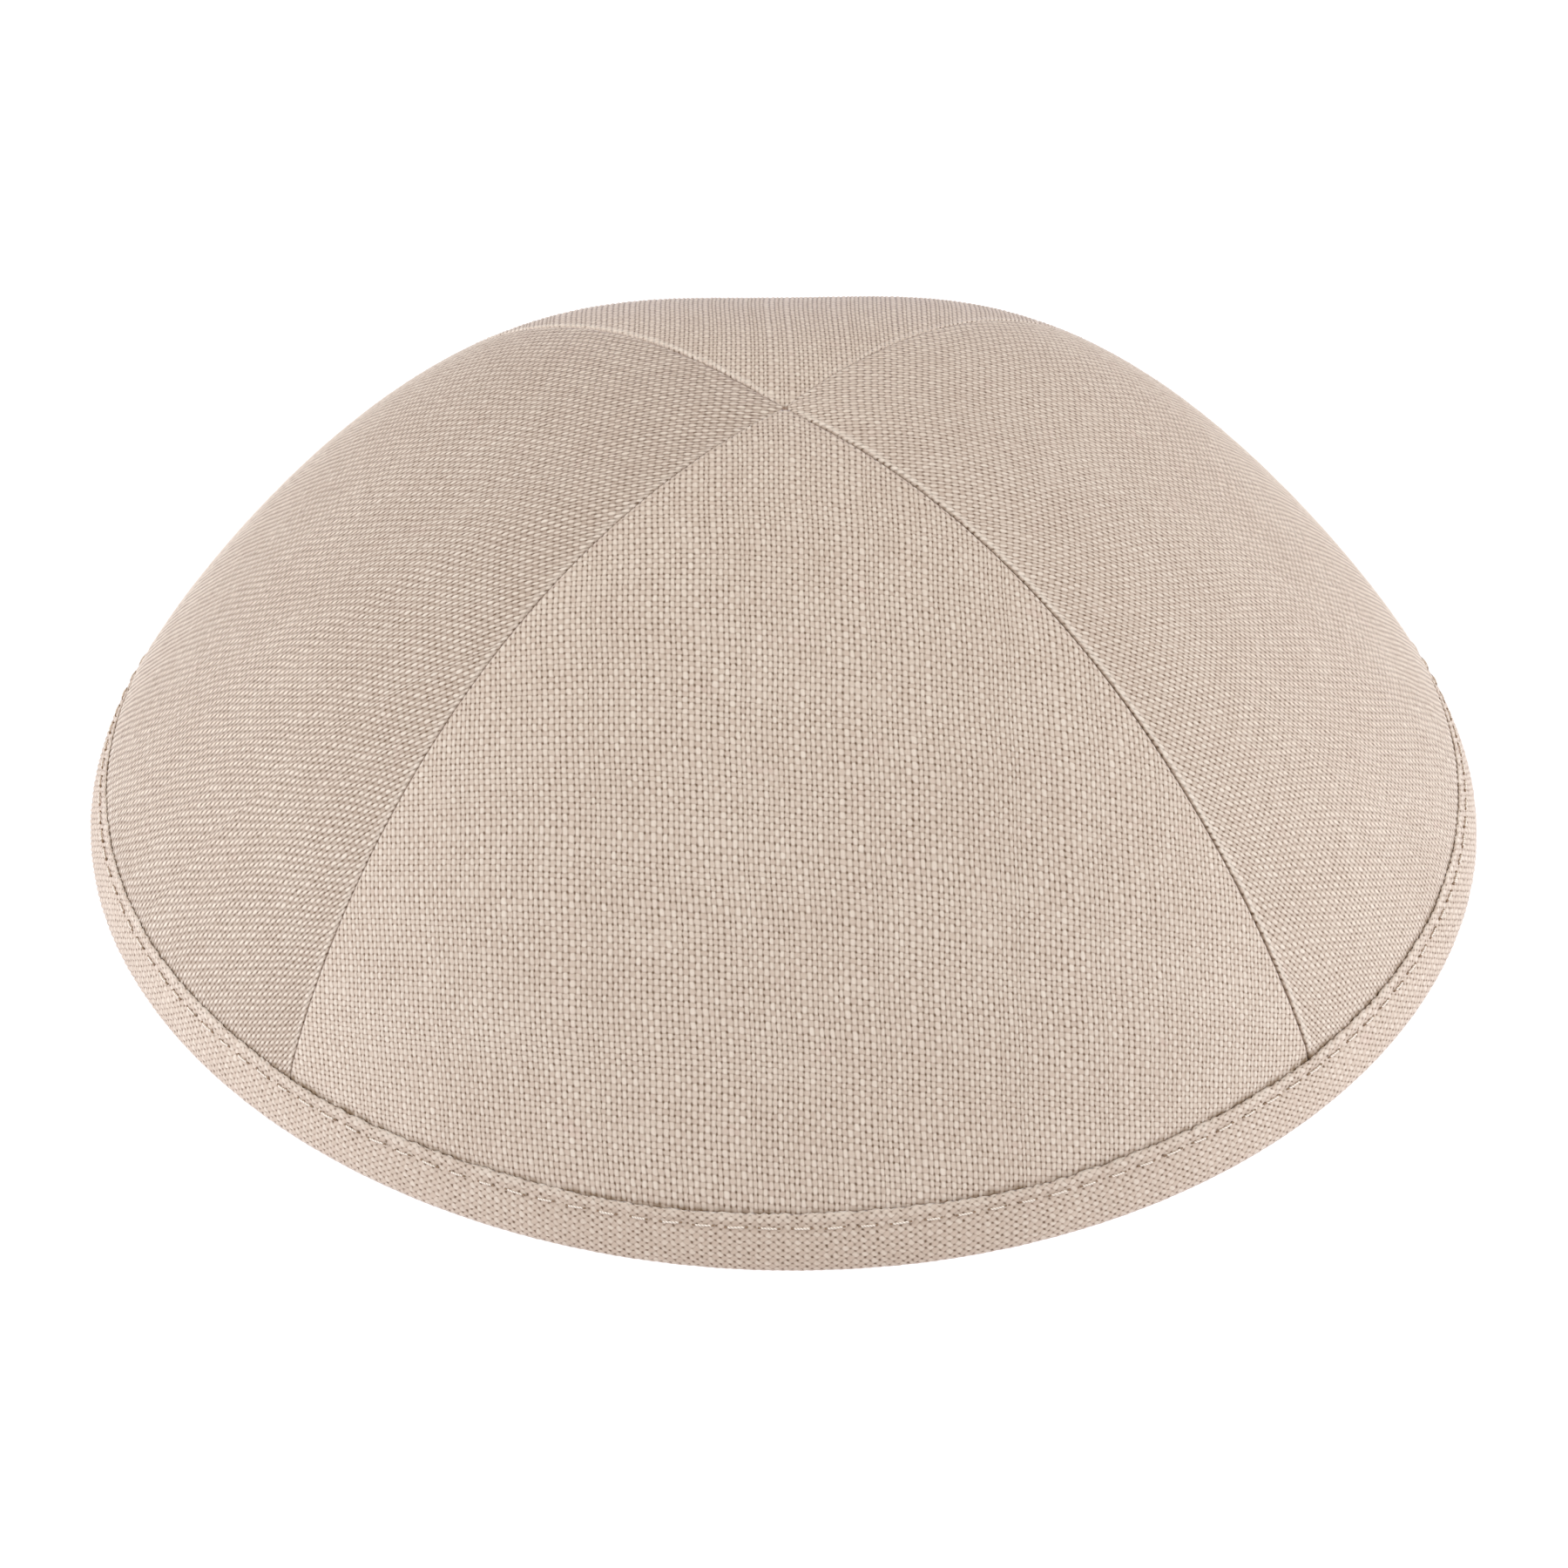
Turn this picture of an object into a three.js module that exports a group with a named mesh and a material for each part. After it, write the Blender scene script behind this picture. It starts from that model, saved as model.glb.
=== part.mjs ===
// A four-panel linen skullcap that keeps its form by itself and stands on its rim.
// Millimetres, +Z up. The front panel faces -Y and the right-hand panel faces +X.
// The origin lies on the surface that the cap rests on, under the middle of the rim.
import * as THREE from "three";

// Size of the crown
const RIM_RADIUS = 80;
const CROWN_HEIGHT = 55.1;

// Two half sections of the outer face, each one cubic curve from the crown point down to the rim.
// A reach is the length of the curve's handle, a rise is the handle's slope above level at the crown,
// and a lean is the handle's angle at the rim, where 90 degrees is upright.
const HALF_SECTIONS = {
  midPanel: { crownReach: 40.3, crownRise: 8.5, rimReach: 6.7, rimLean: 114 },
  seam: { crownReach: 55.2, crownRise: 4.2, rimReach: 7.6, rimLean: 90 },
};

// The rim isn't quite round: slow waves around it, as shares of the radius, that fade out towards the crown
const RIM_WAVES = [
  { count: 2, along: -0.0112, across: 0.015 },
  { count: 3, along: 0.0084, across: 0.0012 },
];
const CROWN_SHIFT = 1.3; // how far the crown point lies to the right of the rim's middle
const BACK_SEAM_TURN = { left: 4.2, right: 1.5 }; // degrees that each back seam stands further back than 135

// Cloth
const PANEL_THICKNESS = 1.3;
const HEM_THICKNESS = 1.0; // the panel where the binding presses it
const CLEARANCE = 0.3; // between neighbouring pieces
const CROWN_HOLE_RADIUS = 1.2; // the pinhole where the four tips meet
const SEAM_ROLL_WIDTH = 1.6; // the edge of a panel that turns down into the seam
const SEAM_ROLL_DEPTH = 0.4;

// Binding, measured along the cloth from the rim upwards and inwards from the outer face
const BINDING_WIDTH = 6.9;
const LEG_THICKNESS = 1.0;
const FOLD_HEIGHT = 1.7; // the solid fold below the panel's edge
const EDGE_ROUNDING = 0.35;
const FLAT_INSET = 0.3; // where the flattened foot starts, inside the outer face
const PINCH_HEIGHT = 5; // the stretch above the binding where the panel sinks to go under it

// Mesh resolution
const PANEL_ROWS = 13;
const PANEL_COLUMNS = 16;
const BINDING_STEPS = 80;

const LINEN = { color: 0xd2c0b0, roughness: 0.92, metalness: 0 };
const BINDING_LINEN = { color: 0xcdb9a9, roughness: 0.92, metalness: 0 };

const QUARTER = Math.PI / 2;
const HEM_DEPTH = LEG_THICKNESS + CLEARANCE;
const BINDING_DEPTH = 2 * HEM_DEPTH + HEM_THICKNESS;

function halfSection({ crownReach, crownRise, rimReach, rimLean }) {
  const rise = THREE.MathUtils.degToRad(crownRise);
  const lean = THREE.MathUtils.degToRad(rimLean);
  const curve = new THREE.CubicBezierCurve(
    new THREE.Vector2(0, CROWN_HEIGHT),
    new THREE.Vector2(crownReach, CROWN_HEIGHT + crownReach * Math.tan(rise)),
    new THREE.Vector2(RIM_RADIUS - rimReach * Math.cos(lean), rimReach * Math.sin(lean)),
    new THREE.Vector2(RIM_RADIUS, 0),
  );
  return { curve, length: curve.getLength() };
}

const midPanel = halfSection(HALF_SECTIONS.midPanel);
const seam = halfSection(HALF_SECTIONS.seam);

// 0 along the middle of a panel and 1 along a seam. An angle is 0 at the front and grows towards the right.
function seamShare(angle) {
  return (1 - Math.cos(4 * angle)) / 2;
}

function clothLength(angle) {
  return THREE.MathUtils.lerp(midPanel.length, seam.length, seamShare(angle));
}

function rimWave(angle) {
  return RIM_WAVES.reduce(
    (sum, wave) =>
      sum + wave.along * Math.cos(wave.count * angle) + wave.across * Math.sin(wave.count * angle),
    0,
  );
}

// The heading of a place whose angle counts every panel as 90 degrees: the back panel is in fact narrower
function heading(angle) {
  const both = (BACK_SEAM_TURN.right + BACK_SEAM_TURN.left) / 2;
  const difference = (BACK_SEAM_TURN.right - BACK_SEAM_TURN.left) / 2;
  const even = Math.sin(angle) * Math.SQRT1_2 - Math.sin(2 * angle) / 2;
  const uneven = 0.5 - Math.cos(angle) * Math.SQRT1_2;
  return angle + THREE.MathUtils.degToRad(both * even + difference * uneven);
}

// A point of the outer face, where share runs along the cloth from 0 at the crown point to 1 at the rim
function skin(angle, share) {
  const section = midPanel.curve.getPointAt(share).lerp(seam.curve.getPointAt(share), seamShare(angle));
  const radius = section.x * (1 + rimWave(angle) * share ** 2);
  const shift = CROWN_SHIFT * (1 - share) ** 2;
  const way = heading(angle);
  return new THREE.Vector3(radius * Math.sin(way) + shift, -radius * Math.cos(way), section.y);
}

function skinNormal(angle, share) {
  const step = 0.002;
  const low = Math.max(share - step, step);
  const high = Math.min(share + step, 1);
  const around = skin(angle + step, share).sub(skin(angle - step, share));
  const down = skin(angle, high).sub(skin(angle, low));
  return down.cross(around).normalize();
}

// A point at a height along the cloth above the rim and at a depth inwards from the outer face
function inCloth(angle, height, depth) {
  const share = 1 - height / clothLength(angle);
  return skin(angle, share).addScaledVector(skinNormal(angle, share), -depth);
}

function evenly(from, to, count) {
  return Array.from({ length: count + 1 }, (_, i) => THREE.MathUtils.lerp(from, to, i / count));
}

// Whole numbers from one to another, both included, up or down
function wholeNumbers(from, to) {
  const direction = Math.sign(to - from);
  return Array.from({ length: Math.abs(to - from) + 1 }, (_, i) => from + i * direction);
}

function clothMesh(name, points, triangles, finish) {
  const geometry = new THREE.BufferGeometry().setFromPoints(points);
  geometry.setIndex(triangles.flat());
  geometry.computeVertexNormals();
  const mesh = new THREE.Mesh(geometry, new THREE.MeshStandardMaterial(finish));
  mesh.name = name;
  return mesh;
}

function quad(a, b, c, d) {
  return [
    [a, b, c],
    [a, c, d],
  ];
}

// The depths of a panel's two faces: it sinks from the open cloth to the pressed hem under the binding
function panelDepths(height) {
  const free = THREE.MathUtils.smoothstep(height, BINDING_WIDTH, BINDING_WIDTH + PINCH_HEIGHT);
  const outer = HEM_DEPTH * (1 - free);
  const thickness = THREE.MathUtils.lerp(HEM_THICKNESS, PANEL_THICKNESS, free);
  return { outer, inner: outer + thickness };
}

// The angles across a panel at one height: a narrow rolled edge at each seam and even columns between
function panelAngles(middle, height) {
  const share = 1 - height / clothLength(middle + QUARTER / 2);
  const seamRadius = seam.curve.getPointAt(share).x;
  const edge = QUARTER / 2 - Math.asin(CLEARANCE / 2 / seamRadius);
  const roll = Math.min(SEAM_ROLL_WIDTH / seamRadius, edge / 4);
  const inner = evenly(-edge + roll, edge - roll, PANEL_COLUMNS);
  return [-edge, ...inner, edge].map((offset) => middle + offset);
}

function panel(name, middle) {
  const lowerEdge = FOLD_HEIGHT + CLEARANCE;
  const tip = seam.length - CROWN_HOLE_RADIUS;
  const heights = [
    ...evenly(lowerEdge, BINDING_WIDTH - EDGE_ROUNDING, 1),
    ...evenly(BINDING_WIDTH, BINDING_WIDTH + PINCH_HEIGHT, 3),
    ...evenly(BINDING_WIDTH + PINCH_HEIGHT, tip, PANEL_ROWS).slice(1),
  ];
  const width = PANEL_COLUMNS + 3;
  const lastColumn = width - 1;
  const lastRow = heights.length - 1;
  const points = [];
  for (const side of ["outer", "inner"]) {
    for (const height of heights) {
      panelAngles(middle, height).forEach((angle, column) => {
        const rolled = side === "outer" && (column === 0 || column === lastColumn);
        const depth = panelDepths(height)[side] + (rolled ? SEAM_ROLL_DEPTH : 0);
        // Heights are shares of the seam's length, so that the rows of two neighbours meet
        points.push(inCloth(angle, (height * clothLength(angle)) / seam.length, depth));
      });
    }
  }
  const innerStart = heights.length * width;
  const at = (row, column, start = 0) => start + row * width + column;
  const triangles = [];
  for (let row = 0; row < lastRow; row++) {
    for (let column = 0; column < lastColumn; column++) {
      const corners = [at(row, column), at(row, column + 1), at(row + 1, column + 1), at(row + 1, column)];
      triangles.push(...quad(...corners));
      triangles.push(...quad(...corners.map((corner) => corner + innerStart).reverse()));
    }
  }
  const rim = [
    ...wholeNumbers(0, lastColumn).map((column) => at(0, column)),
    ...wholeNumbers(1, lastRow).map((row) => at(row, lastColumn)),
    ...wholeNumbers(lastColumn - 1, 0).map((column) => at(lastRow, column)),
    ...wholeNumbers(lastRow - 1, 1).map((row) => at(row, 0)),
  ];
  rim.forEach((corner, i) => {
    const next = rim[(i + 1) % rim.length];
    triangles.push(...quad(corner, corner + innerStart, next + innerStart, next));
  });
  return clothMesh(name, points, triangles, LINEN);
}

// The section of the binding, from the foot's outer edge up the outer leg, down into the fold and back
function bindingSection() {
  const innerLeg = BINDING_DEPTH - LEG_THICKNESS;
  const shoulder = BINDING_WIDTH - EDGE_ROUNDING;
  const middleHeight = BINDING_WIDTH / 2;
  return [
    { depth: FLAT_INSET, height: 0, onFloor: true },
    { depth: 0, height: FOLD_HEIGHT / 2 },
    { depth: 0, height: middleHeight },
    { depth: 0, height: shoulder },
    { depth: LEG_THICKNESS / 2, height: BINDING_WIDTH },
    { depth: LEG_THICKNESS, height: shoulder },
    { depth: LEG_THICKNESS, height: FOLD_HEIGHT },
    { depth: innerLeg, height: FOLD_HEIGHT },
    { depth: innerLeg, height: shoulder },
    { depth: innerLeg + LEG_THICKNESS / 2, height: BINDING_WIDTH },
    { depth: BINDING_DEPTH, height: shoulder },
    { depth: BINDING_DEPTH, height: middleHeight },
    { depth: BINDING_DEPTH, height: FOLD_HEIGHT / 2 },
    { depth: BINDING_DEPTH - FLAT_INSET, height: 0, onFloor: true },
  ];
}

function binding(name) {
  const section = bindingSection();
  const points = [];
  for (let step = 0; step < BINDING_STEPS; step++) {
    const angle = (2 * Math.PI * step) / BINDING_STEPS;
    for (const { depth, height, onFloor } of section) {
      const point = inCloth(angle, height, depth);
      points.push(onFloor ? point.setZ(0) : point);
    }
  }
  const triangles = [];
  for (let step = 0; step < BINDING_STEPS; step++) {
    const here = step * section.length;
    const next = ((step + 1) % BINDING_STEPS) * section.length;
    section.forEach((_, i) => {
      const j = (i + 1) % section.length;
      triangles.push(...quad(here + i, next + i, next + j, here + j));
    });
  }
  return clothMesh(name, points, triangles, BINDING_LINEN);
}

const skullcap = new THREE.Group();
["front", "right", "back", "left"].forEach((place, i) => {
  skullcap.add(panel(`panel_${place}`, i * QUARTER));
});
skullcap.add(binding("rim_binding"));

// The rim's waves put the middle of its box a little off the crown's axis, so the cap moves back over it
const middle = new THREE.Box3().setFromObject(skullcap).getCenter(new THREE.Vector3());
skullcap.position.set(-middle.x, -middle.y, 0);

export default skullcap;
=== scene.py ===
# %% [markdown]
# # A linen skullcap over its measured frame
# The cap has four panels of natural linen. They meet in a pinhole at the crown, and a strip of the
# same linen, cut on the bias, is folded over their lower edge and topstitched. The frame holds the
# cap at its real size, so this script only dresses it: each piece is made on the same curved skin.
# Everything is in metres, with the floor at height 0 and the front panel towards -Y.

# %% The frame and its box
import math

import bpy
import numpy as np
from mathutils import Matrix, Vector


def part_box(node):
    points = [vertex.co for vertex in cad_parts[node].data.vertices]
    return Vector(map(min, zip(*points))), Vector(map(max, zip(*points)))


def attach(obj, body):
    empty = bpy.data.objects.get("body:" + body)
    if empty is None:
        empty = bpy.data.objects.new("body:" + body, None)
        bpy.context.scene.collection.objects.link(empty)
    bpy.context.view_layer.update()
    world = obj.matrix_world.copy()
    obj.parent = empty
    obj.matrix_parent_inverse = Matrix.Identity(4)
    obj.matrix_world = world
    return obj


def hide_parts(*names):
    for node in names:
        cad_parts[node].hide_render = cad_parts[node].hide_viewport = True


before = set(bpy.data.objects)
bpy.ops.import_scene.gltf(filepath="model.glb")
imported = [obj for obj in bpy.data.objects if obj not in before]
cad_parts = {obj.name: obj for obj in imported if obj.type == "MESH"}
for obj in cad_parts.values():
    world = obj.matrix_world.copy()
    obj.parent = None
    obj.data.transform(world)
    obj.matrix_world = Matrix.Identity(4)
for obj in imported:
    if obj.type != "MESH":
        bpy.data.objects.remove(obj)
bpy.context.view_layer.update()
print("frame nodes:", sorted(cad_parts))


def added(name, data):
    """A new object in the scene."""
    made = bpy.data.objects.new(name, data)
    bpy.context.scene.collection.objects.link(made)
    return made


# %% [markdown]
# ## The skin
# A sewn cap has no simple outline: each seam arches in one way and the middle of each panel in another.
# Two half sections, each one cubic curve, say both, and every place between them is a blend. The same
# few sizes drive the frame, so a point of this skin lies on the outer face of the frame's solids.

# %% The sizes of the crown
MM = 0.001
RIM_RADIUS = 80 * MM
CROWN_HEIGHT = 55.1 * MM
QUARTER = math.pi / 2
SKIN_SAMPLES = 1601

# A reach is the length of a curve's handle, a rise its slope at the crown, and a lean its angle at the rim
HALF_SECTIONS = {
    "mid_panel": {"crown_reach": 40.3 * MM, "crown_rise": 8.5, "rim_reach": 6.7 * MM, "rim_lean": 114},
    "seam": {"crown_reach": 55.2 * MM, "crown_rise": 4.2, "rim_reach": 7.6 * MM, "rim_lean": 90},
}

# The rim isn't quite round: slow waves around it, as shares of the radius
RIM_WAVES = [
    {"count": 2, "along": -0.0112, "across": 0.015},
    {"count": 3, "along": 0.0084, "across": 0.0012},
]
CROWN_SHIFT = 1.3 * MM
BACK_SEAM_TURN = {"left": math.radians(4.2), "right": math.radians(1.5)}


def run_along(line):
    """How far along a line each of its points is."""
    return np.concatenate([[0], np.cumsum(np.linalg.norm(np.diff(line, axis=0), axis=-1))])


def even_steps(line, count):
    """The columns of a line's points, taken again at even steps along it, and its length."""
    run = run_along(line)
    even = np.linspace(0, run[-1], count)
    return *(np.interp(even, run, column) for column in line.T), run[-1]


def half_section(crown_reach, crown_rise, rim_reach, rim_lean):
    """Radius and height at even steps along one half section, and its length."""
    rise, lean = math.radians(crown_rise), math.radians(rim_lean)
    handles = np.array(
        [
            (0, CROWN_HEIGHT),
            (crown_reach, CROWN_HEIGHT + crown_reach * math.tan(rise)),
            (RIM_RADIUS - rim_reach * math.cos(lean), rim_reach * math.sin(lean)),
            (RIM_RADIUS, 0),
        ]
    )
    t = np.linspace(0, 1, SKIN_SAMPLES)[:, None]
    weights = np.hstack([(1 - t) ** 3, 3 * (1 - t) ** 2 * t, 3 * (1 - t) * t**2, t**3])
    return even_steps(weights @ handles, SKIN_SAMPLES)


mid_radius, mid_height, MID_LENGTH = half_section(**HALF_SECTIONS["mid_panel"])
seam_radius, seam_height, SEAM_LENGTH = half_section(**HALF_SECTIONS["seam"])
SHARES = np.linspace(0, 1, SKIN_SAMPLES)
print(f"cloth from crown to rim: {MID_LENGTH / MM:.1f} mm in mid panel, {SEAM_LENGTH / MM:.1f} mm at a seam")


# %% A point of the skin
def seam_share(angle):
    """0 along the middle of a panel and 1 along a seam."""
    return (1 - np.cos(4 * angle)) / 2


def cloth_length(angle):
    return MID_LENGTH + (SEAM_LENGTH - MID_LENGTH) * seam_share(angle)


def rim_wave(angle):
    return sum(
        wave["along"] * np.cos(wave["count"] * angle) + wave["across"] * np.sin(wave["count"] * angle)
        for wave in RIM_WAVES
    )


def heading(angle):
    """The true heading of a place whose angle counts every panel as 90 degrees: the back one is narrower."""
    both = (BACK_SEAM_TURN["right"] + BACK_SEAM_TURN["left"]) / 2
    difference = (BACK_SEAM_TURN["right"] - BACK_SEAM_TURN["left"]) / 2
    even = np.sin(angle) * math.sqrt(0.5) - np.sin(2 * angle) / 2
    uneven = 0.5 - np.cos(angle) * math.sqrt(0.5)
    return angle + both * even + difference * uneven


def skin(angle, share):
    """A point of the outer face: share runs from 0 at the crown to 1 at the rim."""
    blend = seam_share(angle)
    mid, seam = (
        [np.interp(share, SHARES, table) for table in tables]
        for tables in ((mid_radius, mid_height), (seam_radius, seam_height))
    )
    radius, height = [(1 - blend) * at_mid + blend * at_seam for at_mid, at_seam in zip(mid, seam)]
    radius = radius * (1 + rim_wave(angle) * share**2)
    shift = CROWN_SHIFT * (1 - share) ** 2
    way = heading(angle)
    return np.stack([radius * np.sin(way) + shift, -radius * np.cos(way), height], axis=-1) - skin_middle


def skin_outward(angle, share):
    """The direction away from the cloth, from small steps along and around it."""
    step = 0.002
    low, high = np.maximum(share - step, step), np.minimum(share + step, 1)
    around = skin(angle + step, share) - skin(angle - step, share)
    down = skin(angle, high) - skin(angle, low)
    across = np.cross(down, around)
    return across / np.linalg.norm(across, axis=-1, keepdims=True)


# %% [markdown]
# The rim's waves put the middle of the cap's box a little off its axis, and the frame was moved back
# over the middle. The same move is worked out here from the rim, and the two boxes then have to agree.

# %% Moving the skin to the frame
skin_middle = np.zeros(3)
rim_angles = np.linspace(0, 2 * math.pi, 80, endpoint=False)[:, None]
FRAME_RINGS = np.array([[0.85, 3.45, 6.55]]) * MM  # heights at which the frame's binding has its points
rim_points = skin(rim_angles, 1 - FRAME_RINGS / cloth_length(rim_angles)).reshape(-1, 3)
skin_middle[:2] = ((rim_points.max(0) + rim_points.min(0)) / 2)[:2]
binding_low, binding_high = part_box("rim_binding")
rim_size = rim_points.max(0) - rim_points.min(0)
print("middle of the rim, mm:", (skin_middle / MM).round(3))
print("skin against frame, mm:", ((rim_size[:2] - np.array(binding_high - binding_low)[:2]) / MM).round(3))

# %% [markdown]
# ## Camera
# The photograph looks down on the cap from a little over half a metre, at 38 degrees, with a long lens.
# The camera stands there first, so that each piece can be judged through it as soon as it is made.

# %% The camera
CAMERA_DISTANCE = 560 * MM
CAMERA_ELEVATION = 0.6650
CAMERA_TURN = 0.0098
CAMERA_ROLL = -0.0223
AIM_RIGHT, AIM_UP = 0.37 * MM, 1.99 * MM
LENS = 109.45

crown_axis = Vector((-skin_middle[0], -skin_middle[1], 0))
toward_camera = Vector(
    (
        -math.cos(CAMERA_ELEVATION) * math.sin(CAMERA_TURN),
        -math.cos(CAMERA_ELEVATION) * math.cos(CAMERA_TURN),
        math.sin(CAMERA_ELEVATION),
    )
)
camera = added("camera", bpy.data.cameras.new("camera"))
bpy.context.scene.camera = camera
camera.data.lens = LENS
camera.data.clip_start = 0.01
camera.location = crown_axis + toward_camera * CAMERA_DISTANCE
straight = (-toward_camera).to_track_quat("-Z", "Y").to_matrix()
aim = crown_axis + straight.col[0] * AIM_RIGHT + straight.col[1] * AIM_UP
level_view = (aim - camera.location).to_track_quat("-Z", "Y")
camera.rotation_euler = (level_view @ Matrix.Rotation(CAMERA_ROLL, 3, "Z").to_quaternion()).to_euler()
print("camera at, mm:", [round(x / MM) for x in camera.location])

# %% [markdown]
# ## Helpers for node trees
# Linen is drawn by arithmetic on thread numbers, which is easier to read as a formula than as a web of
# nodes. A Wire stands for one output of a node, and sums and products of wires add the Math nodes that
# work them out. A Board holds a tree, of a material or of Geometry Nodes, and adds any other node.


# %% Wires and boards
class Wire:
    """One output of a node."""

    def __init__(self, board, socket):
        self.board = board
        self.socket = socket

    def math(self, operation, *others):
        return self.board.node("ShaderNodeMath", {"operation": operation}, [self, *others])

    def __add__(self, other):
        return self.math("ADD", other)

    __radd__ = __add__

    def __sub__(self, other):
        return self.math("SUBTRACT", other)

    def __rsub__(self, other):
        return self.board.node("ShaderNodeMath", {"operation": "SUBTRACT"}, [other, self])

    def __mul__(self, other):
        return self.math("MULTIPLY", other)

    __rmul__ = __mul__

    def __truediv__(self, other):
        return self.math("DIVIDE", other)

    def __rtruediv__(self, other):
        return self.board.node("ShaderNodeMath", {"operation": "DIVIDE"}, [other, self])

    def __neg__(self):
        return self.math("MULTIPLY", -1.0)

    def ramp(self, low, high):
        """0 below low and 1 above high, with a soft step between."""
        values = {"Value": self, "From Min": low, "From Max": high}
        return self.board.node("ShaderNodeMapRange", {"interpolation_type": "SMOOTHSTEP"}, values)


class Board:
    """A node tree, and the one method that adds a node to it."""

    def __init__(self, tree):
        self.tree = tree

    def node(self, kind, settings=None, values=None, output=0):
        made = self.tree.nodes.new(kind)
        for name, setting in (settings or {}).items():
            setattr(made, name, setting)
        given = enumerate(values) if isinstance(values, (list, tuple)) else (values or {}).items()
        for place, value in given:
            if isinstance(value, Wire):
                self.tree.links.new(value.socket, made.inputs[place])
            elif value is not None:
                made.inputs[place].default_value = value
        return Wire(self, made.outputs[output]) if made.outputs else None

    def vector(self, x, y, z=0.0):
        return self.node("ShaderNodeCombineXYZ", None, [x, y, z])

    def split(self, vector):
        first = self.node("ShaderNodeSeparateXYZ", None, [vector])
        return [Wire(self, socket) for socket in first.socket.node.outputs]

    def noise(self, vector, detail=1.0):
        """Smooth random values about 0, from about -0.5 to 0.5, with one bump for each unit of the vector."""
        values = {"Vector": vector, "Scale": 1.0, "Detail": detail, "Roughness": 0.5}
        return self.node("ShaderNodeTexNoise", {"noise_dimensions": "3D"}, values) - 0.5

    def mix(self, share, first, second):
        """A colour between two others."""
        return self.node("ShaderNodeMix", {"data_type": "RGBA"}, {0: share, 6: first, 7: second}, output=2)

    def mix_numbers(self, share, first, second):
        return self.node("ShaderNodeMix", {"data_type": "FLOAT"}, {0: share, 2: first, 3: second}, output=0)

    def mix_vectors(self, share, first, second):
        return self.node("ShaderNodeMix", {"data_type": "VECTOR"}, {0: share, 4: first, 5: second}, output=1)

    def scaled(self, vector, size):
        return self.node("ShaderNodeVectorMath", {"operation": "SCALE"}, {"Vector": vector, "Scale": size})

    def chance(self, place):
        """A random number from 0 to 1 for each place."""
        return self.node("ShaderNodeTexWhiteNoise", {"noise_dimensions": "3D"}, [place])

    def carried(self, name, output=2):
        """A value that the mesh carries: a number or, from output 1, a vector."""
        return self.node("ShaderNodeAttribute", {"attribute_name": name}, output=output)


def empty_board(owner):
    """A board on the cleared tree of a material or a world."""
    owner.use_nodes = True
    owner.node_tree.nodes.clear()
    return Board(owner.node_tree)


# %% [markdown]
# ## Linen
# Plain weave is the simplest cloth: each weft thread passes over one warp thread and under the next.
# The threads are numbered: a map on each piece holds the warp number and the weft number of every
# point, so that whole numbers lie between threads. Each thread's height follows from that: it is round
# across its width, and rises where it passes over. Whichever of the two is higher shows. Linen yarn is
# spun unevenly, so its width and shade wander along each thread, and a few lengths are thick slubs.

# %% Colours and sizes of the weave
THREAD_MAP = "Threads"
BAKE_MAP = "OFBake"
PAINTED_SHADE_AND_LIGHT = "crease"
PAINTED_ROWS = "slant"


def linear(red, green, blue):
    """A colour given in the usual 0 to 255 steps, as Blender's shaders take it."""
    shares = [c / 255 for c in (red, green, blue)]
    return tuple(s / 12.92 if s <= 0.04045 else ((s + 0.055) / 1.055) ** 2.4 for s in shares) + (1.0,)


YARN = linear(200, 178, 161)
# The crowns' colour is a painted highlight, used also on the raised ridges and the binding's fold
PAINTED_HIGHLIGHT = linear(238, 223, 208)
# The hollows' colour is painted shade, and so is the crease colour below it, for the seams and the dip
PAINTED_HOLLOW_SHADE = linear(100, 74, 52)
PAINTED_CREASE_SHADE = linear(116, 90, 62)
ROSE = linear(206, 176, 163)
# Strengths of the painted shade and painted light in the level rows of the side panels
PAINTED_ROW_SHADE, PAINTED_ROW_LIGHT = 0.18, 0.04
LEAST_HOLE, MOST_HOLE = 0.14, 0.94  # shares of the way to the hollow's colour


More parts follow.
